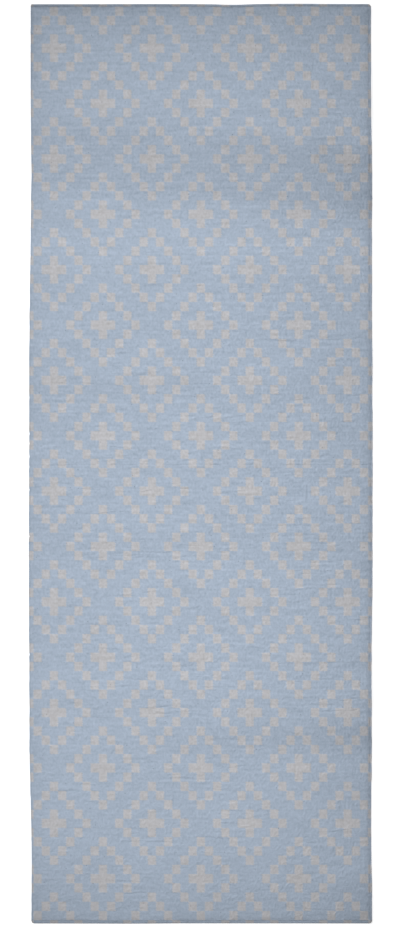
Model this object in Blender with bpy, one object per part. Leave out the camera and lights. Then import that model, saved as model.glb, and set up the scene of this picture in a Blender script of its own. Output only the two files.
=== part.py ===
# A flat-woven runner rug, lying flat, modelled the way it is woven: a set of cotton warp cords inside,
# wool weft beaten down over and under them in bands, two cords at each selvedge that the weft turns
# round, and a narrow turned and stitched hem at the head and at the foot.
# Metres, +Z up. The origin is under the middle of the rug, on the surface that it lies on. +Y is the head.

import math

import bmesh
import bpy
from mathutils import Matrix

# Overall sizes.
RUG_LENGTH = 2.451
RUG_WIDTH = 0.914
CLOTH_THICKNESS = 0.0054
CORNER_RADIUS = 0.008

# The grid that the weaver counts in: one cell of the pattern, and the rows that one band holds.
CELL_WIDTH = 0.02175
ROW_LENGTH = 0.0246
ROWS_PER_BAND = 6
SHORTEST_HEADING = 0.012

# Warp: flat side by side cords, drawn as ribs on one sheet.
WARP_THICKNESS = 0.0018
WARP_CORDS_PER_CELL = 2
WARP_RIB_DEPTH = 0.0005

# Selvedges: two cords on each side, with a shallow groove on top between them.
SELVEDGE_CORD_DIAMETER = 0.0022
SELVEDGE_WALL = 0.0012
SELVEDGE_WEB = 0.0010
SELVEDGE_GROOVE_WIDTH = 0.0016
SELVEDGE_GROOVE_DEPTH = 0.0005
CORD_SIDES = 8

# End hems: a turned roll, and the seam groove between it and the last picks.
HEM_WIDTH = 0.0055
HEM_WALL = 0.0020
SEAM_GROOVE_WIDTH = 0.0018
THREAD_DIAMETER = 0.0008
STITCH_LENGTH = 0.024
STITCH_DIP = 0.0002

# Care label, sewn flat in a shallow pocket under one corner of the foot.
LABEL_WIDTH = 0.060
LABEL_LENGTH = 0.034
LABEL_THICKNESS = 0.0005
LABEL_FROM_SIDE = 0.045
LABEL_RAISED = 0.0002

# Edges, and the gap that neighbouring pieces keep.
EDGE_RADIUS_SHARE = 0.46
ARC_STEPS = 4
CLEARANCE = 0.0003
CUTTER_MARGIN = 0.002

# Colours are sRGB, each with a roughness.
MATERIALS = {
    "weft_wool": ((0.655, 0.702, 0.765), 0.93),
    "warp_cotton": ((0.830, 0.800, 0.735), 0.90),
    "hem_thread": ((0.600, 0.645, 0.705), 0.75),
    "label_satin": ((0.900, 0.895, 0.880), 0.45),
}

# Sizes that follow from the ones above.
CORD_HOLE = SELVEDGE_CORD_DIAMETER + 2 * CLEARANCE
OUTER_CORD_X = RUG_WIDTH / 2 - SELVEDGE_WALL - CORD_HOLE / 2
INNER_CORD_X = OUTER_CORD_X - CORD_HOLE - SELVEDGE_WEB
GROOVE_X = (OUTER_CORD_X + INNER_CORD_X) / 2
WARP_SLOT_WIDTH = 2 * (INNER_CORD_X - CORD_HOLE / 2 - SELVEDGE_WEB)
WARP_SLOT_HEIGHT = WARP_THICKNESS + 2 * CLEARANCE
MID_HEIGHT = CLOTH_THICKNESS / 2
WOVEN_HALF = RUG_LENGTH / 2 - HEM_WIDTH - SEAM_GROOVE_WIDTH
BAND_LENGTH = ROWS_PER_BAND * ROW_LENGTH
HEM_SLOT_DEPTH = HEM_WIDTH - HEM_WALL


def clear_scene():
    for thing in list(bpy.data.objects):
        bpy.data.objects.remove(thing, do_unlink=True)


def new_collection(name):
    collection = bpy.data.collections.new(name)
    bpy.context.scene.collection.children.link(collection)
    return collection


def linear(channel):
    if channel <= 0.04045:
        return channel / 12.92
    return ((channel + 0.055) / 1.055) ** 2.4


def make_materials():
    made = {}
    for name, (colour, roughness) in MATERIALS.items():
        material = bpy.data.materials.new(name)
        material.use_nodes = True
        shader = material.node_tree.nodes["Principled BSDF"]
        shader.inputs["Base Color"].default_value = (*map(linear, colour), 1.0)
        shader.inputs["Roughness"].default_value = roughness
        shader.inputs["Metallic"].default_value = 0.0
        made[name] = material
    return made


def arc(centre_x, centre_y, radius, start, end, steps=ARC_STEPS):
    # Points on a circle from the start angle to the end angle, in degrees.
    points = []
    for step in range(steps + 1):
        angle = math.radians(start + (end - start) * step / steps)
        points.append((centre_x + radius * math.cos(angle), centre_y + radius * math.sin(angle)))
    return points


def rectangle(low_x, low_y, high_x, high_y):
    return [(low_x, low_y), (high_x, low_y), (high_x, high_y), (low_x, high_y)]


def polygon(centre_x, centre_y, diameter, sides=CORD_SIDES):
    # A regular polygon standing on a flat side.
    points = arc(centre_x, centre_y, diameter / 2, 180 / sides, 360 + 180 / sides, sides)
    return points[:-1]


def prism_curve(name, loops, depth):
    # A flat outline with its holes, as thick as depth, centred on its own plane.
    curve = bpy.data.curves.new(name, "CURVE")
    curve.dimensions = "2D"
    curve.fill_mode = "BOTH"
    curve.extrude = depth / 2
    for loop in loops:
        spline = curve.splines.new("POLY")
        spline.points.add(len(loop) - 1)
        for point, (x, y) in zip(spline.points, loop):
            point.co = (x, y, 0.0, 1.0)
        spline.use_cyclic_u = True
    return curve


def place(name, data, material, parent, collection, location=(0, 0, 0), rotation=(0, 0, 0)):
    piece = bpy.data.objects.new(name, data)
    piece.location = location
    piece.rotation_euler = rotation
    piece.parent = parent
    if material and not data.materials:
        data.materials.append(material)
    collection.objects.link(piece)
    return piece


def as_mesh(piece):
    # The same piece with its outline turned into a welded mesh, so that it can be cut.
    bpy.context.view_layer.update()
    graph = bpy.context.evaluated_depsgraph_get()
    mesh = bpy.data.meshes.new_from_object(piece.evaluated_get(graph))
    shape = bmesh.new()
    shape.from_mesh(mesh)
    bmesh.ops.remove_doubles(shape, verts=shape.verts, dist=1e-6)
    bmesh.ops.recalc_face_normals(shape, faces=shape.faces)
    shape.to_mesh(mesh)
    shape.free()
    name = piece.name
    matrix = piece.matrix_world.copy()
    parent = piece.parent
    homes = list(piece.users_collection)
    bpy.data.objects.remove(piece, do_unlink=True)
    solid = bpy.data.objects.new(name, mesh)
    for home in homes:
        home.objects.link(solid)
    solid.parent = parent
    solid.matrix_world = matrix
    return solid


def cut(piece, cutter, operation):
    modifier = piece.modifiers.new(operation.lower(), "BOOLEAN")
    modifier.operation = operation
    modifier.solver = "MANIFOLD"
    modifier.object = cutter


def make_cutter(name, loops, depth, location, cutters):
    cutter = as_mesh(place(name, prism_curve(name, loops, depth), None, None, cutters, location))
    cutter.hide_render = True
    cutter.display_type = "WIRE"
    return cutter


def woven_outline():
    # The cloth's section across the rug: a flat underside, round sides, and a groove inside each rim.
    half = RUG_WIDTH / 2
    radius = EDGE_RADIUS_SHARE * CLOTH_THICKNESS
    top = CLOTH_THICKNESS
    right = arc(half - radius, radius, radius, -90, 0)
    right += arc(half - radius, top - radius, radius, 0, 90)
    right.append((GROOVE_X + SELVEDGE_GROOVE_WIDTH / 2, top))
    right.append((GROOVE_X, top - SELVEDGE_GROOVE_DEPTH))
    right.append((GROOVE_X - SELVEDGE_GROOVE_WIDTH / 2, top))
    left = [(-x, y) for x, y in reversed(right)]
    return right + left


def woven_section():
    # The outline with the tunnels that the weft leaves: a wide slot for the warp, and the cord holes.
    slot = rectangle(
        -WARP_SLOT_WIDTH / 2,
        MID_HEIGHT - WARP_SLOT_HEIGHT / 2,
        WARP_SLOT_WIDTH / 2,
        MID_HEIGHT + WARP_SLOT_HEIGHT / 2,
    )
    holes = [
        polygon(side * x, MID_HEIGHT, CORD_HOLE)
        for side in (-1, 1)
        for x in (OUTER_CORD_X, INNER_CORD_X)
    ]
    return [woven_outline(), slot, *holes]


def band_spans():
    # (name, low y, high y) of each length of weft, head first: whole bands about the middle of the rug,
    # and a shorter heading at each end that takes up what is left.
    pairs = int((WOVEN_HALF - SHORTEST_HEADING) / BAND_LENGTH)
    reach = pairs * BAND_LENGTH
    spans = [("head_heading", reach, WOVEN_HALF)]
    for index in range(2 * pairs):
        high = reach - index * BAND_LENGTH
        spans.append((f"weft_band_{index + 1:02d}", high - BAND_LENGTH, high))
    spans.append(("foot_heading", -WOVEN_HALF, -reach))
    return spans


def weft_bands(material, parent, collection):
    # Each band stops half a clearance short of its neighbour. Bands of one length share their data.
    section = woven_section()
    shared = {}
    made = {}
    for name, low, high in band_spans():
        depth = high - low - CLEARANCE
        key = round(depth, 6)
        if key not in shared:
            shared[key] = prism_curve(name, section, depth)
        middle = (0, (low + high) / 2, 0)
        made[name] = place(name, shared[key], material, parent, collection, middle, (math.pi / 2, 0, 0))
    return made


def warp_set(material, parent, collection):
    # One ribbed sheet that runs through every band and ends inside the slots of the two hem rolls.
    pitch = CELL_WIDTH / WARP_CORDS_PER_CELL
    ribs = int((WARP_SLOT_WIDTH - 2 * CLEARANCE) / pitch)
    left = -ribs * pitch / 2
    crest = WARP_THICKNESS / 2
    valley = crest - WARP_RIB_DEPTH
    upper = []
    for index in range(ribs):
        upper.append((left + index * pitch, valley))
        upper.append((left + (index + 0.5) * pitch, crest))
    upper.append((left + ribs * pitch, valley))
    lower = [(x, -y) for x, y in reversed(upper)]
    reach = RUG_LENGTH / 2 - HEM_WALL - CLEARANCE
    curve = prism_curve("warp_set", [lower + upper], 2 * reach)
    place("warp_set", curve, material, parent, collection, (0, 0, MID_HEIGHT), (math.pi / 2, 0, 0))


def selvedge_cords(material, parent, collection):
    # Two straight cords inside each selvedge, as long as the space between the hem rolls.
    reach = RUG_LENGTH / 2 - HEM_WIDTH - CLEARANCE
    loop = polygon(0, 0, SELVEDGE_CORD_DIAMETER)
    curve = prism_curve("selvedge_cord", [loop], 2 * reach)
    for side, sign in (("left", -1), ("right", 1)):
        for place_word, x in (("outer", OUTER_CORD_X), ("inner", INNER_CORD_X)):
            name = f"selvedge_cord_{side}_{place_word}"
            where = (sign * x, 0, MID_HEIGHT)
            place(name, curve, material, parent, collection, where, (math.pi / 2, 0, 0))


def hem_section():
    # The turned end, from its inner face at x = 0 to the rug's end: a slot clasps the warp's ends.
    radius = EDGE_RADIUS_SHARE * CLOTH_THICKNESS
    top = CLOTH_THICKNESS
    slot_low = MID_HEIGHT - WARP_SLOT_HEIGHT / 2
    slot_high = MID_HEIGHT + WARP_SLOT_HEIGHT / 2
    points = [(0, 0)]
    points += arc(HEM_WIDTH - radius, radius, radius, -90, 0)
    points += arc(HEM_WIDTH - radius, top - radius, radius, 0, 90)
    points += [(0, top), (0, slot_high), (HEM_SLOT_DEPTH, slot_high)]
    points += [(HEM_SLOT_DEPTH, slot_low), (0, slot_low)]
    return points


def plan_outline():
    # The rug seen from above, with its rounded corners.
    x = RUG_WIDTH / 2 - CORNER_RADIUS
    y = RUG_LENGTH / 2 - CORNER_RADIUS
    points = arc(x, y, CORNER_RADIUS, 0, 90)
    points += arc(-x, y, CORNER_RADIUS, 90, 180)
    points += arc(-x, -y, CORNER_RADIUS, 180, 270)
    points += arc(x, -y, CORNER_RADIUS, 270, 360)
    return points


def hem_rolls(material, parent, collection, cutters):
    middle = (0, 0, MID_HEIGHT)
    depth = CLOTH_THICKNESS + 2 * CUTTER_MARGIN
    corners = make_cutter("corner_cutter", [plan_outline()], depth, middle, cutters)
    for end, sign in (("head", 1), ("foot", -1)):
        name = f"{end}_hem_roll"
        curve = prism_curve(name, [hem_section()], RUG_WIDTH)
        where = (0, sign * (RUG_LENGTH / 2 - HEM_WIDTH), 0)
        turned = (math.pi / 2, 0, sign * math.pi / 2)
        roll = as_mesh(place(name, curve, material, parent, collection, where, turned))
        cut(roll, corners, "INTERSECT")


def thread_heights(face):
    # Lowest and highest centre line of a seam thread, above the warp (face 1) or under it (face -1).
    near = WARP_THICKNESS / 2 + CLEARANCE + THREAD_DIAMETER / 2
    far = MID_HEIGHT - CLEARANCE - THREAD_DIAMETER / 2
    near = max(near, far - STITCH_DIP)
    return MID_HEIGHT + face * near, MID_HEIGHT + face * far


def hem_threads(material, parent, collection):
    # The lockstitch of each hem: a needle thread on top and a bobbin thread below, lying in the seam
    # groove and dipping towards the warp at every stitch.
    reach = RUG_WIDTH / 2 - CORNER_RADIUS
    stitches = int(2 * reach / STITCH_LENGTH)
    first = -stitches * STITCH_LENGTH / 2
    for end, sign in (("head", 1), ("foot", -1)):
        y = sign * (RUG_LENGTH / 2 - HEM_WIDTH - SEAM_GROOVE_WIDTH / 2)
        for thread, face in (("needle", 1), ("bobbin", -1)):
            name = f"{end}_hem_{thread}_thread"
            near, far = thread_heights(face)
            curve = bpy.data.curves.new(name, "CURVE")
            curve.dimensions = "3D"
            curve.bevel_depth = THREAD_DIAMETER / 2
            curve.bevel_resolution = 0
            curve.use_fill_caps = True
            spline = curve.splines.new("POLY")
            spline.points.add(2 * stitches)
            for index, point in enumerate(spline.points):
                x = first + index * STITCH_LENGTH / 2
                point.co = (x, y, far if index % 2 else near, 1.0)
            place(name, curve, material, parent, collection)


def care_label(bands, material, parent, collection, cutters):
    # The label lies in a pocket in the underside of the last whole band, short of the side.
    host_name, low, high = band_spans()[-2]
    x = RUG_WIDTH / 2 - LABEL_FROM_SIDE - LABEL_WIDTH / 2
    y = (low + high) / 2
    half_x = LABEL_WIDTH / 2
    half_y = LABEL_LENGTH / 2
    label = prism_curve("care_label", [rectangle(-half_x, -half_y, half_x, half_y)], LABEL_THICKNESS)
    where = (x, y, LABEL_RAISED + LABEL_THICKNESS / 2)
    place("care_label", label, material, parent, collection, where)
    half_x += CLEARANCE
    half_y += CLEARANCE
    depth = LABEL_RAISED + LABEL_THICKNESS + CLEARANCE
    pocket = rectangle(-half_x, -half_y, half_x, half_y)
    where = (x, y, (depth - CUTTER_MARGIN) / 2)
    cutter = make_cutter("label_pocket_cutter", [pocket], depth + CUTTER_MARGIN, where, cutters)
    host = as_mesh(bands[host_name])
    cut(host, cutter, "DIFFERENCE")


def main():
    clear_scene()
    collection = new_collection("runner_rug")
    cutters = new_collection("cutters")
    materials = make_materials()
    rug = bpy.data.objects.new("runner_rug", None)
    rug.matrix_world = Matrix.Identity(4)
    collection.objects.link(rug)
    bands = weft_bands(materials["weft_wool"], rug, collection)
    warp_set(materials["warp_cotton"], rug, collection)
    selvedge_cords(materials["warp_cotton"], rug, collection)
    hem_rolls(materials["weft_wool"], rug, collection, cutters)
    hem_threads(materials["hem_thread"], rug, collection)
    care_label(bands, materials["label_satin"], rug, collection, cutters)


main()
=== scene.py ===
import bpy
import math
import numpy as np
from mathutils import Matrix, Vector


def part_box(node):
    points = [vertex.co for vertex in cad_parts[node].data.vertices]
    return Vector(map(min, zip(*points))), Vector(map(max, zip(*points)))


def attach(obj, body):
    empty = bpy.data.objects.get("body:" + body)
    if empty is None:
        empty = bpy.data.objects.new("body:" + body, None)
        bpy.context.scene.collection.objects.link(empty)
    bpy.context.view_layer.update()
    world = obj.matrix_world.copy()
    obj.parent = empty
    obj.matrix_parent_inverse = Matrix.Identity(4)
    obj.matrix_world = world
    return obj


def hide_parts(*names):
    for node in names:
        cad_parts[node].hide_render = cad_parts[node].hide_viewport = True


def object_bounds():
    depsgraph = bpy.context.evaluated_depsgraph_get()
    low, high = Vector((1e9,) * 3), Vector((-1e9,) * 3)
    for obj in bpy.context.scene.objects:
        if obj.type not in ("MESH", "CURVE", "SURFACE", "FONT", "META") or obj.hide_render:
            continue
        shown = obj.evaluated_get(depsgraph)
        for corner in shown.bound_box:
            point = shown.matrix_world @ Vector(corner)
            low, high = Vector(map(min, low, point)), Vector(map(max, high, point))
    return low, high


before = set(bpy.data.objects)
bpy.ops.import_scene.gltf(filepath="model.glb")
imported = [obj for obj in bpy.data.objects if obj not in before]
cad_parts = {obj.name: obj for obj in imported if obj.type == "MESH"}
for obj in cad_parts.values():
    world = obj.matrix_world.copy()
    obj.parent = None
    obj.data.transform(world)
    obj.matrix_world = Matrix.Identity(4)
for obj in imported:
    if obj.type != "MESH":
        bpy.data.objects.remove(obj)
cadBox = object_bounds()
print("frame loaded:", len(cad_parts), "nodes")

mm = 0.001
low, high = cadBox
labelLow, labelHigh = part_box("care_label")

# The cloth: a weft-faced flat weave. Lengths are in metres.
cloth = {
    "thickness": high.z - low.z,
    "halfLength": (high.y - low.y) / 2,
    "halfWidth": 455.0 * mm,  # the woven width without its belly
    "endShift": -1.1 * mm,  # the counted pattern sits a little nearer the head than the foot
    "cellWidth": 21.75 * mm,  # one square of the counted pattern, across
    "rowLength": 24.6 * mm,  # and along
    "picksPerRow": 8,
    "samplesPerPick": 4,
    "faceColumnStep": 5.6 * mm,
    "underColumnStep": 20.0 * mm,
    "rimRadius": 2.1 * mm,
    "rimRise": 0.25 * mm,
    "rimReach": 3.4 * mm,
    "endLip": 0.15 * mm,  # half the thickness left at the outermost row of an end
    "waveReach": 40.0 * mm,  # rows bend to an end's wave within this distance of it
    "edgeDrop": 1.9 * mm,  # the cloth thins this much towards its edges
    "edgeDropReach": 8.5 * mm,
    "sideGrooveAt": 4.7 * mm,
    "sideGrooveDepth": 0.55 * mm,
    "endGrooveAt": 6.3 * mm,
    "headGrooveDepth": 1.7 * mm,
    "footGrooveDepth": 0.8 * mm,
    "grooveWidth": 1.3 * mm,
    "ribHeight": 0.24 * mm,
    "ribWander": 0.35 * mm,  # how far a pick strays from straight
    "ribUneven": 0.25,  # share by which its height varies
    "reliefFadesOver": 3.0 * mm,  # from the edge inwards
    "underRelief": 0.4,  # the underside's relief as a share of the face's
    "underGroove": 0.5,
    "turn": 0.25 * mm,  # how far a pair of picks stands out where it turns at a side
    "turnUneven": 0.35 * mm,
    "pucker": 0.5 * mm,
    "tuckDepth": 1.3 * mm,
    "tuckWidth": 3.0 * mm,
    "foldDepth": 0.9 * mm,
    "crumpleHeight": 0.22 * mm,
    "crumplePitch": 10.0 * mm,
    "swellReach": 100.0 * mm,
    "swellBend": 12.0 * mm,  # how far a swell's line strays
    "swellCutAt": 50.0 * mm,  # from its top towards the foot
    "swellCutSoftness": 20.0 * mm,
    "overLabel": 1.5 * mm,  # how far the label lifts the cloth
    "cockle": 0.6 * mm,
    "rumple": 0.6 * mm,
    "furrows": 420,  # how many picks lie slack somewhere
    "slubs": 420,  # and how many thick places the yarn has
    "seed": 11,
}
# Patches of fine slanting crumple: place across, place along, and how far they slant.
crumples = ((-0.27, 0.21, 0.6), (-0.19, -0.23, -0.5), (0.08, 0.02, 0.3), (0.16, -0.42, 0.5), (-0.2, 0.0, 1.6))
# The soft rumple, in three sizes: its share, its size across and along in mm, and its seed.
rumpleSizes = ((0.42, 34, 14, 36), (0.32, 16, 12, 37), (0.26, 12, 7, 38))
# Low swells right across the rug: where along it, and how tall in mm.
swells = ((0.93, 4.5), (-0.62, 3.5), (0.27, 1.2), (0.52, 0.7))
pick = cloth["rowLength"] / cloth["picksPerRow"]

# How far each side edge stands out from the woven width, in mm, at places along the rug in metres.
leftBelly = [(-1.23, -3.2), (-1.02, -3.2), (-0.92, -1.4), (-0.81, 1.5), (-0.63, 2.1), (-0.36, 3.6)]
leftBelly += [(-0.12, 3.4), (0.04, 3.1), (0.36, 2.2), (0.60, -0.8), (0.79, -2.8), (0.92, -1.2), (1.23, -1.2)]
rightBelly = [(-1.23, 1.8), (-1.13, 1.8), (-1.02, -0.6), (-0.92, -0.6), (-0.81, 0.6), (-0.50, 0.6)]
rightBelly += [(-0.38, 2.2), (-0.17, 3.0), (0.25, 2.6), (0.60, 1.2), (0.79, 1.9), (0.90, -0.2), (1.23, -1.0)]
# The same for the two ends, at places across the rug.
headWave = [(-0.46, 0.3), (-0.30, 0.5), (-0.12, 0.8), (0.02, 0.4), (0.09, -1.0), (0.15, 0.7)]
headWave += [(0.25, 1.7), (0.34, 1.1), (0.46, 0.6)]
footWave = [(-0.46, 0.3), (-0.27, 0.6), (-0.22, 0.8), (-0.05, 0.0), (0.15, 0.0), (0.46, 0.3)]
leftTucks = (0.175, 0.079, 0.053, 0.018, -0.009, -0.070, -0.195, -0.51)  # where a turn is pulled in, along y
cornerRadius = {"headLeft": 4.0 * mm, "headRight": 8.0 * mm, "footLeft": 8.0 * mm, "footRight": 8.0 * mm}


# A smooth curve through given places: a cubic between each pair, with slopes taken from neighbours.
def smoothThrough(places, at):
    known = np.array(places)
    xs, values = known[:, 0], known[:, 1]
    slopes = np.gradient(values, xs)
    k = np.clip(np.searchsorted(xs, at) - 1, 0, len(xs) - 2)
    span = xs[k + 1] - xs[k]
    t = np.clip((at - xs[k]) / span, 0, 1)
    rise = values[k] * (1 + 2 * t) * (1 - t) ** 2 + values[k + 1] * t * t * (3 - 2 * t)
    return rise + span * (slopes[k] * t * (1 - t) ** 2 - slopes[k + 1] * t * t * (1 - t))


# Soft noise from -1 to 1: random values on a grid of the given size, blended smoothly between its corners.
# The grid is shifted, so that its lines miss the middle of the rug, and it repeats after so many cells.
def softNoise(x, y, sizeX, sizeY, seed, cells=257):
    grid = np.random.default_rng(seed).uniform(-1, 1, (cells, cells))
    gx, gy = x / sizeX + 1000.37, y / sizeY + 1000.61
    ix, iy = np.floor(gx).astype(int), np.floor(gy).astype(int)
    fx, fy = gx - ix, gy - iy
    fx, fy = fx * fx * (3 - 2 * fx), fy * fy * (3 - 2 * fy)
    left, right, near, far = ix % cells, (ix + 1) % cells, iy % cells, (iy + 1) % cells
    nearSide = grid[left, near] * (1 - fx) + grid[right, near] * fx
    farSide = grid[left, far] * (1 - fx) + grid[right, far] * fx
    return nearSide * (1 - fy) + farSide * fy


# The same noise along one line.
def lineNoise(along, size, seed):
    return softNoise(along, along * 0, size, 1, seed)


# A bell: 1 at the middle, falling as exp(-(offset / width)^2).
def bell(offset, width):
    return np.exp(-((offset / width) ** 2))


# The section of a furrow: a bell for the hollow, less a lower bell beside it for the ridge it pushes up.
def hollow(offset, width, ridgeAt, ridgeWidth):
    return bell(offset, width) - 0.6 * bell(offset - ridgeAt, ridgeWidth)


# The side edge at y: woven width plus belly, with each pair of picks standing out a little where it turns,
# and a few tucks where a turn was pulled tight.
def sideEdge(y, belly, seed, tucks=()):
    turn = cloth["turn"] * np.cos(math.pi * y / pick) + cloth["turnUneven"] * lineNoise(y, 9 * mm, seed)
    pucker = cloth["pucker"] * lineNoise(y, 34 * mm, seed + 1)
    pulled = sum(cloth["tuckDepth"] * bell(y - at, cloth["tuckWidth"]) for at in tucks)
    return cloth["halfWidth"] + smoothThrough(belly, y) * mm + turn + pucker - pulled


# The rug's end at x, measured from its middle: half the length plus a slight wave.
def endEdge(x, wave, sign):
    return cloth["halfLength"] + sign * cloth["endShift"] + smoothThrough(wave, x) * mm


# Random furrows across the rug, where a pick lies slack: (x, y, length, width, depth, bend).
def slackFurrows(count, seed):
    rng = np.random.default_rng(seed)
    x = 0.84 * rng.beta(1.3, 1.0, count) - 0.42  # more of them towards the right
    y = np.clip(rng.normal(0.0, 0.55, count), -1.19, 1.19)  # and at mid-length
    length = rng.uniform(14, 60, count) * mm
    width = rng.uniform(1.8, 3.6, count) * mm
    depth = rng.uniform(0.25, 0.85, count) * mm
    bend = rng.uniform(-4, 4, count) * mm
    return np.stack([x, y, length, width, depth, bend], axis=1)


# Thick places in the yarn, each lying along one pick: (x, y, length, height).
def thickPlaces(count, seed):
    rng = np.random.default_rng(seed)
    x = rng.uniform(-0.44, 0.44, count)
    y = (np.floor(rng.uniform(-1.2, 1.2, count) / pick) + 0.5) * pick
    length = rng.uniform(8, 30, count) * mm
    height = rng.uniform(0.10, 0.32, count) * mm
    return np.stack([x, y, length, height], axis=1)


furrowSet = slackFurrows(cloth["furrows"], cloth["seed"])
thickSet = thickPlaces(cloth["slubs"], cloth["seed"] + 1)


# How far the cloth is lifted off the floor: the swells, each a bell whose side towards the foot is cut
# steeper by a soft step, a slight cockle, and a flat-topped rise over the label under the foot end.
def lift(x, y):
    bend = cloth["swellBend"] * lineNoise(x, 0.22, 61)
    swell = 0
    for at, tall in swells:
        cut = np.exp((at - cloth["swellCutAt"] - y + bend) / cloth["swellCutSoftness"])
        swell = swell + tall * mm * bell(y - at - bend, cloth["swellReach"]) / (1 + cut)
    cockled = cloth["cockle"] * (0.5 + 0.5 * softNoise(x, y, 0.10, 0.06, 21))
    labelX = (x - (labelLow.x + labelHigh.x) / 2) / (labelHigh.x - labelLow.x)
    labelY = (y - (labelLow.y + labelHigh.y) / 2) / (labelHigh.y - labelLow.y)
    overLabel = cloth["overLabel"] * np.exp(-((labelX ** 4 + labelY ** 4) / 0.5))
    return swell + cockled + overLabel


# The relief of the face about its mean height: picks as rounded ribs whose line wanders a little, a soft
# rumple, slack furrows, thick places, a fold line at mid-length and patches of fine slanting crumple.
def relief(x, y):
    wander = cloth["ribWander"] * softNoise(x, y, 60 * mm, 2 * pick, 31)
    uneven = 1 + cloth["ribUneven"] * softNoise(x, y, 30 * mm, 2 * pick, 32)
    ribs = np.abs(np.sin(math.pi * (y + wander) / pick)) - 0.64  # less their mean height
    z = cloth["ribHeight"] * uneven * ribs
    for share, across, along, seed in rumpleSizes:
        z = z + cloth["rumple"] * share * softNoise(x, y, across * mm, along * mm, seed)
    reach = np.ptp(y) / 2 + 15 * mm
    for cx, cy, length, width, depth, bend in furrowSet[np.abs(furrowSet[:, 1] - y.mean()) < reach]:
        line = y - cy - bend * np.sin((x - cx) / length * 2.4)
        z = z - depth * bell(x - cx, length) * hollow(line, width, 2 * width, 1.2 * width)
    for cx, cy, length, height in thickSet[np.abs(thickSet[:, 1] - y.mean()) < reach]:
        z = z + height * bell(x - cx, length) * bell(y - cy, 0.55 * pick)
    foldLine = y + 4.5 * mm + 1.5 * mm * lineNoise(x, 70 * mm, 34)
    broken = 0.5 + 0.5 * lineNoise(x, 45 * mm, 35)
    z = z - cloth["foldDepth"] * broken * hollow(foldLine, 1.9 * mm, 4 * mm, 2.2 * mm)
    for cx, cy, slant in crumples:
        patch = bell(x - cx, 0.13) * bell(y - cy, 0.06)
        sway = 4 * softNoise(x, y, 26 * mm, 18 * mm, 39)
        creases = np.sin((x * slant + y) * 2 * math.pi / cloth["crumplePitch"] + sway)
        z = z + cloth["crumpleHeight"] * patch * creases
    return z


# Distances from each point in to the nearest side, the nearest end, and the nearest of both with the
# corners rounded: inside a corner's square that is r less the distance to the arc's centre.
def insetOf(x, y, left, right):
    fromLeft, fromRight = x + left, right - x
    fromHead, fromFoot = endEdge(x, headWave, 1) - y, endEdge(x, footWave, -1) + y
    side, end = np.minimum(fromLeft, fromRight), np.minimum(fromHead, fromFoot)
    inset = np.minimum(side, end)
    for name, a, b in (("headLeft", fromLeft, fromHead), ("headRight", fromRight, fromHead),
                       ("footLeft", fromLeft, fromFoot), ("footRight", fromRight, fromFoot)):
        r = cornerRadius[name]
        rounded = r - np.hypot(np.maximum(r - a, 0), np.maximum(r - b, 0))
        inset = np.where((a < r) & (b < r), rounded, inset)
    return np.maximum(side, 0), np.maximum(end, 0), np.maximum(inset, 0)


# Heights of the two faces: half the thickness each way from the middle, times the root of 1 - (1 - d/r)^2
# round the rim at distance d in, plus a slightly raised edge and the relief, less the grooves behind it.
def faceHeights(x, y, left, right):
    side, end, inset = insetOf(x, y, left, right)
    r = cloth["rimRadius"]
    roundness = np.sqrt(np.clip(1 - (1 - np.minimum(inset, r) / r) ** 2, 0, 1))
    half = (cloth["thickness"] - cloth["edgeDrop"] * bell(inset, cloth["edgeDropReach"])) / 2
    rise = cloth["rimRise"] * bell(inset - cloth["rimReach"] / 2 - r / 2, cloth["rimReach"])
    groove = cloth["sideGrooveDepth"] * bell(side - cloth["sideGrooveAt"], cloth["grooveWidth"])
    endDepth = np.where(y > 0, cloth["headGrooveDepth"], cloth["footGrooveDepth"])
    seam = endDepth * bell(end - cloth["endGrooveAt"], cloth["grooveWidth"])
    grooves = np.maximum(groove, seam)
    body = np.clip(inset / cloth["reliefFadesOver"], 0, 1)
    rough = relief(x, y)
    up = half * roundness + rise * roundness + body * rough - grooves
    down = half * roundness - cloth["underRelief"] * body * np.abs(rough) - cloth["underGroove"] * grooves
    middle = half + lift(x, y)
    return middle + up, middle - down


# Distance along the cloth from the rug's middle line: flat until the rim, and then r times the angle turned.
def alongCloth(place, inset, edge):
    r = cloth["rimRadius"]
    angle = np.arccos(np.clip(1 - np.minimum(inset, r) / r, -1, 1))
    return np.where(inset < r, np.sign(place) * (edge - r + r * (math.pi / 2 - angle)), place)


# How much darker the tone reads than in the field, as shares of it, and how far each reaches. The slow
# patches and the streaks vary at random; the rest is painted shade.
dye = {
    "slow": 0.016,  # wide patches, darker or paler
    "streaks": 0.012,  # long narrow ones across the rug, darker or paler
    # painted shade from here on: darker towards the head and the foot, along the head's groove, the foot's
    # rim and the head's left side, and in from every rim
    "head": 0.055,
    "headFrom": 1.11,  # metres along the rug, where the painted-shade ramp to the head starts
    "headRamp": 0.11,
    "foot": 0.030,
    "footFrom": -1.09,
    "footRamp": 0.12,
    "seam": 0.10,  # painted shade along the head's groove
    "seamReach": 2 * mm,
    # painted shade along the foot's rim
    "footRim": 0.14,
    "footRimReach": 5 * mm,
    "headLeft": 0.12,  # painted shade along the left side, near the head
    "headLeftReach": 14 * mm,
    # painted shade falling in from every rim, and a narrower band of it at the very edge
    "rim": 0.125,
    "rimReach": 13 * mm,
    "outerRim": 0.05,
    "outerRimReach": 3 * mm,
}
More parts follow.
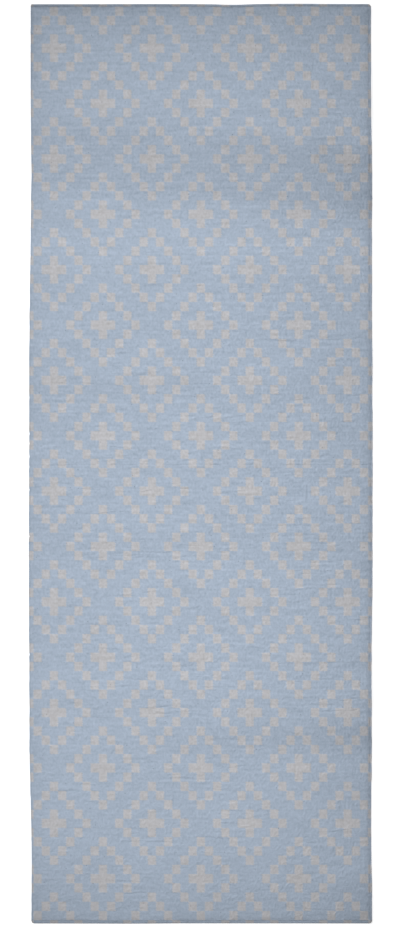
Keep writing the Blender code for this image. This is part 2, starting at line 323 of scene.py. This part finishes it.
# Soft bands across the rug, darker, one of them paler: (middle, half width, softness, depth, slant
# along the rug per metre to the right, how much stronger on the right).
toneBands = (
    (0.790, 0.090, 0.022, 0.090, -0.085, 0.35),
    (-0.745, 0.036, 0.020, 0.062, 0.030, 1.20),
    (-0.875, 0.030, 0.020, 0.018, 0.000, 0.80),
    (0.575, 0.045, 0.030, -0.042, 0.000, 0.00),
    (0.195, 0.022, 0.016, 0.034, 0.000, -0.40),
    (-0.215, 0.028, 0.018, 0.026, 0.010, 0.00),
    (0.085, 0.016, 0.012, 0.018, 0.000, -0.50),
    (-0.530, 0.010, 0.010, 0.024, -0.020, 0.80),
)


# Tone about 1: a slow unevenness and long streaks, less the bands, each a soft-edged step up and down, less
# painted shade: a ramp towards the head and the foot, steeper at the corners, a dark line along the head's
# groove and the foot's rim, a darker patch at the head's left, and an exponential fall in from the rims.
def dyeTone(x, y, end, inset):
    slow = dye["slow"] * softNoise(x, y, 0.12, 0.06, 71)
    tone = 1 + slow + dye["streaks"] * softNoise(x, y, 0.30, 0.022, 72)
    for middle, halfWidth, softness, depth, slant, lean in toneBands:
        offset = y - middle - slant * x + 8 * mm * lineNoise(x, 0.07, 73)
        step = (np.tanh((offset + halfWidth) / softness) - np.tanh((offset - halfWidth) / softness)) / 2
        tone = tone - depth * step * np.clip(1 + lean * x / 0.4, 0.1, 2.5)
    # painted shade: darker towards the head and the foot, more so at the corners and at the foot's right
    corner = (x / 0.45) ** 4
    towardsHead = np.clip((y - dye["headFrom"]) / dye["headRamp"], 0, 1) * (1 + 0.9 * corner)
    towardsFoot = np.clip((dye["footFrom"] - y) / dye["footRamp"], 0, 1) * (1.1 + 2.0 * corner + 0.8 * x)
    tone = tone - dye["head"] * towardsHead - dye["foot"] * towardsFoot
    # painted shade along the head's groove and along the foot's rim
    headSeam = dye["seam"] * bell(end - cloth["endGrooveAt"], dye["seamReach"])
    footRim = dye["footRim"] * np.exp(-end / dye["footRimReach"])
    tone = tone - np.where(y > 0, headSeam, footRim)
    # painted shade near the head at the left side
    headLeft = np.clip((y - 0.9) / 0.15, 0, 1) * np.clip(-x / 0.3, 0, 1)
    tone = tone - dye["headLeft"] * headLeft * np.exp(-inset / dye["headLeftReach"])
    # painted shade falling in from every rim, and a narrower band of it at the very edge
    tone = tone - dye["rim"] * np.exp(-inset / dye["rimReach"])
    return tone - dye["outerRim"] * np.exp(-inset / dye["outerRimReach"])


# Where the columns stand, as distances in from a side: round the rim, over the groove, then wider.
rimSteps = cloth["rimRadius"] * (1 - np.cos(np.radians(np.linspace(0, 90, 7))))
innerSteps = np.array([3.2, 3.9, 4.7, 5.5, 6.4, 7.8, 9.6, 12.5, 17.0]) * mm
sideSteps = np.concatenate([rimSteps, innerSteps])
fieldEdge = cloth["halfWidth"] - 22 * mm  # between here and the same on the left the columns are even
cornerSides = (("headLeft", 1, 0), ("headRight", 1, 1), ("footLeft", -1, 0), ("footRight", -1, 1))


# One face's grid: x and y for each row and column. Side columns follow the side edges and the corner arcs,
# and the last rows before an end of the rug bend to follow its wave.
def faceGrid(rows, columnStep, left, right):
    shift = [np.zeros_like(rows), np.zeros_like(rows)]
    for corner, sign, hand in cornerSides:
        r = cornerRadius[corner]
        depth = np.clip(r - (cloth["halfLength"] + sign * cloth["endShift"] - sign * rows), 0, r)
        shift[hand] += r - np.sqrt(r * r - depth * depth)
    field = np.linspace(-fieldEdge, fieldEdge, int(2 * fieldEdge / columnStep))
    n = len(sideSteps)
    x = np.empty((len(rows), 2 * n + len(field)))
    x[:, :n] = (shift[0] - left)[:, None] + sideSteps
    x[:, n:-n] = field
    x[:, -n:] = (right - shift[1])[:, None] - sideSteps[::-1]
    y = np.repeat(rows[:, None], x.shape[1], axis=1)
    for wave, sign in ((headWave, 1), (footWave, -1)):
        nominal = cloth["halfLength"] + sign * cloth["endShift"]
        share = np.clip((sign * y - nominal + cloth["waveReach"]) / cloth["waveReach"], 0, 1)
        y = y + sign * share * (endEdge(x, wave, sign) - nominal)
    return x, y


# The four-cornered faces between a grid's rows and columns of point numbers, seen from above.
def gridQuads(index):
    corners = (index[:-1, :-1], index[:-1, 1:], index[1:, 1:], index[1:, :-1])
    return np.stack(corners, axis=2).reshape(-1, 4)


# Triangles that close the gap between two rows of points with different columns.
def zipRows(upper, upperX, lower, lowerX):
    middles = (upperX[:-1] + upperX[1:]) / 2
    apex = np.searchsorted((lowerX[:-1] + lowerX[1:]) / 2, middles)
    over = np.stack([upper[:-1], upper[1:], lower[apex], lower[apex]], axis=1)
    count = np.searchsorted(apex, np.arange(len(lower) - 1), side="right")
    under = np.stack([lower[1:], lower[:-1], upper[count], upper[count]], axis=1)
    return np.concatenate([over, under])


# One length of cloth from rows of y: a fine grid for the face and a coarser one for the underside. They
# share their outermost columns, and a strip of triangles closes each end.
def clothStrip(name, rows, atHead, atFoot, material):
    left, right = sideEdge(rows, leftBelly, 41, leftTucks), sideEdge(rows, rightBelly, 51)
    grids = []
    for step, isFace in ((cloth["faceColumnStep"], True), (cloth["underColumnStep"], False)):
        x, y = faceGrid(rows, step, left, right)
        up, down = faceHeights(x, y, left[:, None], right[:, None])
        middle = (up + down) / 2
        for atEnd, row in ((atHead, -1), (atFoot, 0)):
            if atEnd:
                up[row] = middle[row] + cloth["endLip"]
                down[row] = middle[row] - cloth["endLip"]
        up[:, [0, -1]] = down[:, [0, -1]] = middle[:, [0, -1]]
        side, end, inset = insetOf(x, y, left[:, None], right[:, None])
        u = alongCloth(x, side, np.where(x < 0, left[:, None], right[:, None]))
        v = alongCloth(y, end, np.where(y > 0, endEdge(x, headWave, 1), endEdge(x, footWave, -1)))
        grids.append((x, y, up if isFace else down, u, v, dyeTone(x, y, end, inset)))
    points = np.concatenate([np.stack(g[:3], axis=2).reshape(-1, 3) for g in grids])
    uv = np.concatenate([np.stack(g[3:5], axis=2).reshape(-1, 2) for g in grids])
    tone = np.concatenate([g[5].ravel() for g in grids])
    face = np.arange(grids[0][0].size).reshape(grids[0][0].shape)
    under = np.arange(grids[1][0].size).reshape(grids[1][0].shape) + face.size
    under[:, 0], under[:, -1] = face[:, 0], face[:, -1]
    faceX, underX = grids[0][0], grids[1][0]
    footCap = zipRows(face[0], faceX[0], under[0], underX[0])[:, ::-1]
    headCap = zipRows(face[-1], faceX[-1], under[-1], underX[-1])
    rims, cuts = [], []  # the rug's own ends are rounded, the others are cut
    for cap, rounded in ((footCap, atFoot), (headCap, atHead)):
        (rims if rounded else cuts).append(cap)
    faces = np.concatenate([gridQuads(face), gridQuads(under)[:, ::-1]] + rims + cuts)
    return makePiece(name, points, faces, material, uv, tone, sum(len(cap) for cap in cuts))


# A mesh object from arrays: unused points dropped, a face with two equal corners made a triangle. The last
# faces, cutFaces of them, close a cut end and are flat.
def makePiece(name, points, faces, material, uv=None, tone=None, cutFaces=0):
    used = np.unique(faces)
    renumber = np.zeros(len(points), int)
    renumber[used] = np.arange(len(used))
    faces, points = renumber[faces], points[used]
    following = np.roll(faces, -1, axis=1)
    keep = faces != following
    sizes = keep.sum(axis=1)
    whole = sizes >= 3
    corners = faces[whole][keep[whole]]
    smooth = (np.arange(len(faces)) < len(faces) - cutFaces)[whole]
    sizes = sizes[whole]
    mesh = bpy.data.meshes.new(name)
    mesh.vertices.add(len(points))
    mesh.vertices.foreach_set("co", points.astype(np.float32).ravel())
    mesh.loops.add(len(corners))
    mesh.loops.foreach_set("vertex_index", corners.astype(np.int32))
    mesh.polygons.add(len(sizes))
    mesh.polygons.foreach_set("loop_start", (np.cumsum(sizes) - sizes).astype(np.int32))
    mesh.update(calc_edges=True)
    mesh.polygons.foreach_set("use_smooth", smooth)
    if cutFaces:  # the faces that close a cut end keep a hard edge, so that they can't tilt the shading
        edgeOfLoop = np.empty(len(corners), np.int32)
        mesh.loops.foreach_get("edge_index", edgeOfLoop)
        hard = np.zeros(len(mesh.edges), bool)
        hard[edgeOfLoop[np.repeat(~smooth, sizes)]] = True
        sharp = mesh.attributes.new("sharp_edge", "BOOLEAN", "EDGE")
        sharp.data.foreach_set("value", hard)
    if uv is not None:
        layer = mesh.uv_layers.new(name="clothMetres")
        layer.data.foreach_set("uv", uv[used][corners].astype(np.float32).ravel())
    if tone is not None:
        shade = mesh.attributes.new("dyeTone", "FLOAT", "POINT")
        shade.data.foreach_set("value", tone[used].astype(np.float32))
    mesh.materials.append(material)
    mesh.validate()
    piece = bpy.data.objects.new(name, mesh)
    bpy.context.scene.collection.objects.link(piece)
    return piece


# sRGB hex to linear red, green, blue and 1.
def fromHex(code):
    channels = [int(code[i:i + 2], 16) / 255 for i in (0, 2, 4)]
    return [c / 12.92 if c <= 0.04045 else ((c + 0.055) / 1.055) ** 2.4 for c in channels] + [1.0]


# Adds one node: its settings by name, and its inputs by name or number, each a value or another's output.
def addNode(tree, kind, inputs=None, **settings):
    made = tree.nodes.new(kind)
    for key, value in settings.items():
        setattr(made, key, value)
    for key, value in (inputs or {}).items():
        if isinstance(value, bpy.types.NodeSocket):
            tree.links.new(value, made.inputs[key])
        else:
            made.inputs[key].default_value = value
    return made


def newMaterial(name):
    material = bpy.data.materials.new(name)
    material.use_nodes = True
    tree = material.node_tree
    tree.nodes.clear()
    return material, tree


wool = {
    "ground": "AFBBCC",  # blue-grey heathered yarn
    "groundDark": "93A3B5",
    "square": "C3C4CA",  # undyed pale grey yarn with a warm cast
    "squareDark": "A9A7A6",
    "dovetail": 1.8 * mm,  # alternate picks interlock this far over a colour change
    "ragged": 3.8 * mm,  # how far a square's outline wanders
    "knotSpacing": 55 * mm,
    "knotRadius": 1.5 * mm,
    "warpPitch": 3.6 * mm,
    "reliefDepth": 0.60 * mm,
}
# The yarn's unevenness: cell size across and along the rug, detail, and its shares in brightness, in how
# much dark fibre is mixed in, and in height. The grain is drawn coarser than wool's, so that it shows.
woolNoise = {
    "streak": {"size": (100 * mm, 8.5 * mm), "detail": 2.0, "bright": 0.12, "mix": -0.28, "height": 0.0},
    "mottle": {"size": (16 * mm, 10 * mm), "detail": 1.0, "bright": 0.09, "mix": -0.35, "height": 1.8},
    "grain": {"size": (5.4 * mm, 7.4 * mm), "detail": 0.0, "bright": 0.08, "mix": -0.29, "height": 1.3},
    "fibre": {"size": (2.6 * mm, 1.1 * mm), "detail": 1.0, "bright": 0.08, "mix": 0.0, "height": 0.4},
    "ragged": {"size": (4.0 * mm, 3.6 * mm), "detail": 1.0, "bright": 0.0, "mix": 0.0, "height": 0.0},
}


# Weft-faced heathered wool, hand woven: two yarns in a counted lattice, streaky along each pick because
# the fibres were mixed before spinning, mottled where the yarn is thick or thin, matt, with a faint sheen
# of loose fibre.
def heatheredWool():
    material, tree = newMaterial("heatheredWool")
    place = addNode(tree, "ShaderNodeUVMap", uv_map="clothMetres").outputs[0]
    parts = addNode(tree, "ShaderNodeSeparateXYZ", {0: place})
    known = {"u": parts.outputs[0], "v": parts.outputs[1]}
    # the tone from the mesh: random patches and bands, with painted shade towards the ends and rims
    known["dye"] = addNode(tree, "ShaderNodeAttribute", attribute_name="dyeTone").outputs["Fac"]
    spread = {"Vector": place, "Scale": 1 / wool["knotSpacing"]}
    spots = addNode(tree, "ShaderNodeTexVoronoi", spread, voronoi_dimensions="2D")
    known["knots"] = spots.outputs["Distance"]
    sums = []  # each is its name, the operation and what it works on: numbers, or the names of earlier ones
    for name, noise in woolNoise.items():
        cells = {0: place, 1: (1 / noise["size"][0], 1 / noise["size"][1], 1.0)}
        scaled = addNode(tree, "ShaderNodeVectorMath", cells, operation="MULTIPLY").outputs[0]
        wanted = {"Vector": scaled, "Scale": 1.0, "Detail": noise["detail"]}
        known[name + "Raw"] = addNode(tree, "ShaderNodeTexNoise", wanted, noise_dimensions="2D").outputs[0]
        sums.append((name, "SUBTRACT", name + "Raw", 0.5))
    # alternate picks shift left and right, and the outline of each square wanders as hand work does
    sums += [
        ("picksUp", "DIVIDE", "v", pick),
        ("pickNumber", "FLOOR", "picksUp"),
        ("pickCount", "ABSOLUTE", "pickNumber"),
        ("oneOrNone", "MODULO", "pickCount", 2.0),
        ("oddPick", "SUBTRACT", "oneOrNone", 0.5),
        ("wander", "MULTIPLY", "ragged", wool["ragged"]),
        ("sideways", "MULTIPLY_ADD", "oddPick", wool["dovetail"], "wander"),
        ("across", "ADD", "u", "sideways"),
        ("along", "MULTIPLY_ADD", "wander", 0.7, "v"),
        ("columnPlace", "MULTIPLY_ADD", "across", 1 / cloth["cellWidth"], 0.5),
        ("rowPlace", "MULTIPLY_ADD", "along", 1 / cloth["rowLength"], 0.5),
        ("column", "FLOOR", "columnPlace"),
        ("row", "FLOOR", "rowPlace"),
    ]
    # steps to the nearest motif centre: columns and rows repeat every twelve, on two lattices
    for lattice, places in (("first", {"column": 0.0, "row": 3.0}), ("second", {"column": 6.0, "row": 9.0})):
        for way, centre in places.items():
            sums += [
                (lattice + way + "From", "SUBTRACT", way, centre),
                (lattice + way + "Wrapped", "WRAP", lattice + way + "From", 6.0, -6.0),
                (lattice + way, "ABSOLUTE", lattice + way + "Wrapped"),
            ]
        sums.append((lattice, "ADD", lattice + "column", lattice + "row"))
    # a plus of five cells at the centre, and a ring of sixteen cells four steps out
    sums += [
        ("nearest", "MINIMUM", "first", "second"),
        ("plus", "LESS_THAN", "nearest", 1.5),
        ("ring", "COMPARE", "nearest", 4.0, 0.5),
        ("pale", "MAXIMUM", "plus", "ring"),
    ]
    # floats of one warp pitch, offset on alternate picks
    sums += [
        ("turnedBy", "MULTIPLY", "oddPick", math.pi / 2),
        ("turned", "MULTIPLY_ADD", "u", math.pi / wool["warpPitch"], "turnedBy"),
        ("wave", "SINE", "turned"),
        ("hump", "ABSOLUTE", "wave"),
        ("floats", "MULTIPLY", "hump", 0.2),
    ]
    # brightness, the mix of fibres and the height, each a sum of shares of the noises
    totals = {"bright": 0.0, "mix": 0.0, "height": "floats"}
    for total in totals:
        for name in woolNoise:
            if woolNoise[name][total]:
                sums.append((total + name, "MULTIPLY_ADD", name, woolNoise[name][total], totals[total]))
                totals[total] = total + name
    # the yarn is calmer towards the foot; the tone from the mesh, painted shade included, is added to the
    # brightness; dark knots of fibre, about a dozen to a square foot, where a streak is pale; the roughness
    # follows the grain
    sums += [
        ("calm", "MULTIPLY_ADD", "v", 0.55, 1.30),
        ("lively", "MINIMUM", "calm", 1.0),
        ("uneven", "MULTIPLY_ADD", totals["bright"], "lively", "dye"),
        ("darkFibre", "MULTIPLY_ADD", totals["mix"], "lively", 0.45),
        ("knotHere", "GREATER_THAN", "streak", 0.02),
        ("knotSize", "MULTIPLY", "knotHere", wool["knotRadius"] / wool["knotSpacing"]),
        ("knot", "LESS_THAN", "knots", "knotSize"),
        ("tone", "MULTIPLY_ADD", "knot", -0.28, "uneven"),
        ("rough", "MULTIPLY_ADD", "grain", 0.2, 0.92),
    ]
    for name, operation, *values in sums:
        inputs = {k: known.get(value, value) for k, value in enumerate(values)}
        known[name] = addNode(tree, "ShaderNodeMath", inputs, operation=operation).outputs[0]
    yarns = {}
    for yarn in ("ground", "square"):
        fibres = {0: known["darkFibre"], 6: fromHex(wool[yarn]), 7: fromHex(wool[yarn + "Dark"])}
        yarns[yarn] = addNode(tree, "ShaderNodeMix", fibres, data_type="RGBA").outputs[2]
    woven = addNode(tree, "ShaderNodeMix", {0: known["pale"], 6: yarns["ground"], 7: yarns["square"]},
                    data_type="RGBA").outputs[2]
    colour = addNode(tree, "ShaderNodeVectorMath", {0: woven, "Scale": known["tone"]}, operation="SCALE")
    bump = addNode(tree, "ShaderNodeBump", {
        "Strength": 1.0, "Distance": wool["reliefDepth"], "Height": known[totals["height"]]})
    shader = addNode(tree, "ShaderNodeBsdfPrincipled", {
        "Base Color": colour.outputs[0], "Roughness": known["rough"], "Normal": bump.outputs[0],
        "IOR": 1.54, "Specular IOR Level": 0.25, "Sheen Weight": 0.25, "Sheen Roughness": 0.55})
    addNode(tree, "ShaderNodeOutputMaterial", {0: shader.outputs[0]})
    return material


woolMaterial = heatheredWool()


# Rows of y for a length of cloth: four to a pick, and closer round the rug's end.
def rowsBetween(bottom, top, atHead, atFoot):
    step = pick / cloth["samplesPerPick"]
    rows = np.arange(round(bottom / step), round(top / step) + 1) * step
    headEnd, footEnd = cloth["halfLength"] + cloth["endShift"], cloth["endShift"] - cloth["halfLength"]
    gap = cloth["rimRadius"] + step / 2
    if atHead:
        rows = np.concatenate([rows[rows < headEnd - gap], headEnd - rimSteps[::-1]])
    if atFoot:
        rows = np.concatenate([footEnd + rimSteps, rows[rows > footEnd + gap]])
    return rows


bandNames = sorted(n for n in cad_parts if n.startswith("weft_band_"))
bandLength = 6 * cloth["rowLength"]
reach = bandLength * len(bandNames) / 2
strips = {}
headRows = rowsBetween(reach, cloth["halfLength"], True, False)
footRows = rowsBetween(-cloth["halfLength"], -reach, False, True)
strips["headEnd"] = clothStrip("headEnd", headRows, True, False, woolMaterial)
for number, node in enumerate(bandNames):
    top = reach - number * bandLength
    name = "wovenBand" + node[-2:]
    bandRows = rowsBetween(top - bandLength, top, False, False)
    strips[name] = clothStrip(name, bandRows, False, False, woolMaterial)
    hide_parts(node)
strips["footEnd"] = clothStrip("footEnd", footRows, False, True, woolMaterial)
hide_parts("head_heading", "head_hem_roll")
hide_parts("foot_heading", "foot_hem_roll")
inside = ["warp_set"] + [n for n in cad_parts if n.startswith("selvedge_cord")]
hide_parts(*inside)
print("cloth woven:", len(strips), "lengths,", sum(len(s.data.polygons) for s in strips.values()), "faces")

stitch = {
    "length": 4.0 * mm,
    "gap": 0.9 * mm,  # of cloth between one stitch and the next
    "thread": 0.28 * mm,  # radius
    "dip": 0.5 * mm,  # how far a stitch's ends go into the cloth
    "rings": 7,
    "sides": 6,
    "colour": "8F9DB0",
    "colourDark": "7A889B",
}


# Spun polyester sewing thread: two plies twisted together, a little smoother than the wool. The twist is
# drawn at 0.8 mm, coarser than it is, so that it shows.
def sewingThread():
    material, tree = newMaterial("sewingThread")
    place = addNode(tree, "ShaderNodeTexCoord").outputs["Object"]
    twist = addNode(tree, "ShaderNodeTexWave", {"Vector": place, "Scale": 2 * math.pi / 20 / (0.8 * mm)},
                    bands_direction="DIAGONAL").outputs["Fac"]
    plies = {0: twist, 6: fromHex(stitch["colourDark"]), 7: fromHex(stitch["colour"])}
    colour = addNode(tree, "ShaderNodeMix", plies, data_type="RGBA").outputs[2]
    bump = addNode(tree, "ShaderNodeBump", {"Distance": 0.08 * mm, "Height": twist})
    shader = addNode(tree, "ShaderNodeBsdfPrincipled", {
        "Base Color": colour, "Roughness": 0.6, "Normal": bump.outputs[0], "Sheen Weight": 0.1})
    addNode(tree, "ShaderNodeOutputMaterial", {0: shader.outputs[0]})
    return material


# A run of stitches along a path of points: each is a bead stretched along the path, its radius times the
# root of sin(pi t), that dips into the cloth at both ends. side is 1 for the face and -1 for the underside.
def stitchRun(name, path, side, material):
    steps = np.linalg.norm(np.diff(path, axis=0), axis=1)
    run = np.concatenate([[0], np.cumsum(steps)])
    count = int(run[-1] / stitch["length"])
    shown = stitch["length"] - stitch["gap"]
    t = np.linspace(0, 1, stitch["rings"])
    angles = np.linspace(0, 2 * math.pi, stitch["sides"], endpoint=False)
    starts = (np.arange(count) + 0.5) * run[-1] / count - shown / 2
    at = starts[:, None] + t * shown
    middle = np.stack([np.interp(at, run, path[:, k]) for k in range(3)], axis=2)
    ahead = np.stack([np.interp(at + 0.1 * mm, run, path[:, k]) for k in range(3)], axis=2) - middle
    behind = middle - np.stack([np.interp(at - 0.1 * mm, run, path[:, k]) for k in range(3)], axis=2)
    heading = ahead + behind
    heading = heading / np.linalg.norm(heading, axis=2, keepdims=True)
    sideways = np.stack([-heading[..., 1], heading[..., 0], heading[..., 2] * 0], axis=2)
    radius = stitch["thread"] * np.sqrt(np.sin(math.pi * t))
    middle[..., 2] -= side * stitch["dip"] * (1 - np.sin(math.pi * t)) ** 2
    upwards = np.array([0, 0, 1.0])
    ring = np.cos(angles)[:, None] * sideways[:, :, None, :] + np.sin(angles)[:, None] * upwards
    points = middle[:, :, None, :] + radius[:, None, None] * ring
    index = np.arange(points.size // 3).reshape(points.shape[:3])
    index[:, 0], index[:, -1] = index[:, 0, :1], index[:, -1, :1]
    turn = np.roll(index, -1, axis=2)
    faces = np.stack([index[:, :-1], turn[:, :-1], turn[:, 1:], index[:, 1:]], axis=3).reshape(-1, 4)
    return makePiece(name, points.reshape(-1, 3), faces, material)


threadMaterial = sewingThread()
seams = {}
hems = (("head_hem_needle_thread", 1, headWave, 1), ("head_hem_bobbin_thread", 1, headWave, -1),
        ("foot_hem_needle_thread", -1, footWave, 1), ("foot_hem_bobbin_thread", -1, footWave, -1))
for node, sign, wave, side in hems:
    along = np.linspace(-cloth["halfWidth"] + 6 * mm, cloth["halfWidth"] - 6 * mm, 700)
    y = sign * (endEdge(along, wave, sign) - cloth["endGrooveAt"])
    edgeLeft, edgeRight = sideEdge(y, leftBelly, 41, leftTucks), sideEdge(y, rightBelly, 51)
    up, down = faceHeights(along, y, edgeLeft, edgeRight)
    # a thread lies just proud of the cloth, and never below the floor
    height = up + 0.10 * mm if side > 0 else np.maximum(down - 0.05 * mm, stitch["thread"])
    words = node.split("_")
    name = words[0] + ("Needle" if side > 0 else "Bobbin") + "Stitches"
    seams[name] = stitchRun(name, np.stack([along, y, height], axis=1), side, threadMaterial)
    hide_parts(node)
    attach(seams[name], "root")

labelSet = {
    "fold": 5.0 * mm,
    "foldSlope": 0.8 * mm,  # the step down from the folded part
    "thickness": 0.24 * mm,
    "endRound": 0.3 * mm,
    "sideRound": 0.5 * mm,
    "columns": 61,
    "rows": 25,
    "raised": 0.1 * mm,  # its face stands this much higher still
    "wave": 0.05 * mm,
    "seamFromEnd": 2.2 * mm,
    "seamFromSide": 1.8 * mm,
    "colour": "E4E1D8",
    "colourDark": "CFCBC0",
}


# Woven satin ribbon: smooth floats along its length give a soft silky line of light. The floats are drawn
# at 0.7 mm. It is blank.
def satinRibbon():
    material, tree = newMaterial("satinRibbon")
    place = addNode(tree, "ShaderNodeTexCoord").outputs["Object"]
    floats = addNode(tree, "ShaderNodeTexWave", {"Vector": place, "Scale": 2 * math.pi / 20 / (0.7 * mm),
                                                 "Distortion": 0.6}, bands_direction="Y").outputs["Fac"]
    threads = {0: floats, 6: fromHex(labelSet["colourDark"]), 7: fromHex(labelSet["colour"])}
    colour = addNode(tree, "ShaderNodeMix", threads, data_type="RGBA").outputs[2]
    bump = addNode(tree, "ShaderNodeBump", {"Distance": 0.05 * mm, "Height": floats})
    shader = addNode(tree, "ShaderNodeBsdfPrincipled", {
        "Base Color": colour, "Roughness": 0.38, "Normal": bump.outputs[0],
        "Anisotropic": 0.5, "Sheen Weight": 0.1})
    addNode(tree, "ShaderNodeOutputMaterial", {0: shader.outputs[0]})
    return material


# The label: a ribbon lying flat, its two ends folded back under themselves, so twice as thick there. The
# outline of a section along it is z = thickness, or twice that within the fold, with rounded corners.
def labelPiece():
    x = np.linspace(labelLow.x, labelHigh.x, labelSet["columns"])
    y = np.linspace(labelLow.y, labelHigh.y, labelSet["rows"])
    gridX, gridY = np.meshgrid(x, y)
    fromEnd = np.minimum(gridX - labelLow.x, labelHigh.x - gridX)
    fromSide = np.minimum(gridY - labelLow.y, labelHigh.y - gridY)
    folded = np.clip((labelSet["fold"] - fromEnd) / labelSet["foldSlope"], 0, 1)
    rounded = np.sqrt(np.clip(fromEnd / labelSet["endRound"], 0, 1))
    pressed = 0.5 + 0.5 * np.clip(fromSide / labelSet["sideRound"], 0, 1)
    tall = labelSet["thickness"] * (1 + folded) * (0.15 + 0.85 * rounded) * pressed
    wavy = labelSet["wave"] * softNoise(gridX, gridY, 9 * mm, 9 * mm, 91)
    top = labelLow.z + labelSet["raised"] + tall + wavy
    base = np.full_like(top, labelLow.z)
    points = np.concatenate([np.stack([gridX, gridY, z], axis=2).reshape(-1, 3) for z in (top, base)])
    over = np.arange(gridX.size).reshape(gridX.shape)
    under = over + gridX.size
    quads = [gridQuads(over), gridQuads(under)[:, ::-1]]
    for upper, lower in ((over, under), (over.T[::-1], under.T[::-1])):
        for a, b in ((upper[0], lower[0]), (upper[-1, ::-1], lower[-1, ::-1])):
            quads.append(np.stack([a[:-1], b[:-1], b[1:], a[1:]], axis=1))
    return makePiece("careLabel", points, np.concatenate(quads), satinRibbon())


label = labelPiece()
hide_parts("care_label")
inX = labelLow.x + labelSet["seamFromEnd"], labelHigh.x - labelSet["seamFromEnd"]
inY = labelLow.y + labelSet["seamFromSide"], labelHigh.y - labelSet["seamFromSide"]
loop = np.array([(inX[0], inY[0]), (inX[1], inY[0]), (inX[1], inY[1]), (inX[0], inY[1]), (inX[0], inY[0])])
path = np.column_stack([loop, np.full(len(loop), labelLow.z + labelSet["raised"])])
seams["labelStitches"] = stitchRun("labelStitches", path, -1, threadMaterial)
for piece, slot in ((label, "label_satin"), (seams["labelStitches"], "hem_thread")):
    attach(piece, "root")
print("hems stitched and label sewn on")

paperSet = {
    "colour": "C6C6C6",
    "glow": 0.70,
    "below": 0.3 * mm,
    "flatRadius": 36.0,
    "bendRadius": 4.0,
    "wallTop": 15.0,
    "sides": 96,
}


# The floor: white studio paper in one sweep, flat and then curving up to a low wall all round. It glows a
# little, as paper lit from everywhere does, so the studio has no dark side. z = 0 within the flat radius,
# and then a quarter circle and a straight wall.
def paperSweep():
    material, tree = newMaterial("studioPaper")
    place = addNode(tree, "ShaderNodeTexCoord").outputs["Object"]
    grain = addNode(tree, "ShaderNodeTexNoise", {"Vector": place, "Scale": 1 / (2 * mm)}).outputs[0]
    bump = addNode(tree, "ShaderNodeBump", {"Distance": 0.02 * mm, "Height": grain})
    shader = addNode(tree, "ShaderNodeBsdfPrincipled", {
        "Base Color": fromHex(paperSet["colour"]), "Roughness": 0.9, "Specular IOR Level": 0.1,
        "Normal": bump.outputs[0], "Emission Color": (1, 1, 1, 1), "Emission Strength": paperSet["glow"]})
    addNode(tree, "ShaderNodeOutputMaterial", {0: shader.outputs[0]})
    bend = np.linspace(0, math.pi / 2, 13)
    radius = np.concatenate([[3.0, 12.0], paperSet["flatRadius"] + paperSet["bendRadius"] * np.sin(bend)])
    height = np.concatenate([[0.0, 0.0], paperSet["bendRadius"] * (1 - np.cos(bend))])
    radius, height = np.append(radius, radius[-1]), np.append(height, paperSet["wallTop"])
    sides = paperSet["sides"]
    turn = np.linspace(0, 2 * math.pi, sides, endpoint=False)
    rings = np.stack([radius[:, None] * np.cos(turn), radius[:, None] * np.sin(turn),
                      np.repeat(height[:, None], sides, axis=1) - paperSet["below"]], axis=2).reshape(-1, 3)
    index = np.arange(len(rings)).reshape(len(radius), sides)
    after = np.roll(index, -1, axis=1)
    quads = np.stack([index[:-1], index[1:], after[1:], after[:-1]], axis=2).reshape(-1, 4)
    centre = np.full(sides, len(rings))
    middle = np.stack([centre, index[0], after[0], after[0]], axis=1)
    points = np.concatenate([rings, [(0, 0, -paperSet["below"])]])
    return makePiece("floor", points, np.concatenate([quads, middle]), material)


paperSweep()

# Soft studio light: a wide softbox close overhead, a broad weak sun from the upper left for relief, and an
# even glow from all round.
studio = {
    "softbox": {"x": -0.11, "y": -0.01, "height": 0.435, "across": 1.38, "along": 2.61, "watts": 8.4},
    "sun": {"fromLeft": 0.80, "fromHead": 0.55, "up": 0.62, "angle": 22, "strength": 1.69},
    "glow": 0.012,
}
boxLight = bpy.data.lights.new("softbox", "AREA")
boxLight.shape = "RECTANGLE"
boxLight.size, boxLight.size_y = studio["softbox"]["across"], studio["softbox"]["along"]
boxLight.energy = studio["softbox"]["watts"]
softbox = bpy.data.objects.new("softbox", boxLight)
softbox.location = (studio["softbox"]["x"], studio["softbox"]["y"], studio["softbox"]["height"])
sunLight = bpy.data.lights.new("sun", "SUN")
sunLight.energy, sunLight.angle = studio["sun"]["strength"], math.radians(studio["sun"]["angle"])
sun = bpy.data.objects.new("sun", sunLight)
sunFrom = Vector((-studio["sun"]["fromLeft"], studio["sun"]["fromHead"], studio["sun"]["up"]))
sun.rotation_euler = sunFrom.to_track_quat("Z", "Y").to_euler()
for lamp in (softbox, sun):
    lamp.visible_camera = False
    bpy.context.scene.collection.objects.link(lamp)
world = bpy.data.worlds.new("studio")
world.use_nodes = True
world.node_tree.nodes["Background"].inputs[0].default_value = (1.0, 1.0, 1.0, 1.0)
world.node_tree.nodes["Background"].inputs[1].default_value = studio["glow"]
bpy.context.scene.world = world
bpy.context.scene.view_settings.view_transform = "Standard"

# A long lens straight above, which takes in 2.469 m of floor from top to bottom.
camera = {"lens": 120.0, "sensor": 36.0, "framed": 2.4687, "x": 1.8 * mm, "y": 1.1 * mm}
eye = bpy.data.cameras.new("camera")
eye.lens, eye.sensor_width, eye.clip_end = camera["lens"], camera["sensor"], 200.0
shot = bpy.data.objects.new("camera", eye)
above = camera["framed"] * camera["lens"] / camera["sensor"]
shot.location = (camera["x"], camera["y"], cloth["thickness"] + above)
bpy.context.scene.collection.objects.link(shot)
bpy.context.scene.camera = shot
print("floor, light and camera set")

for name, piece in strips.items():
    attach(piece, "root")
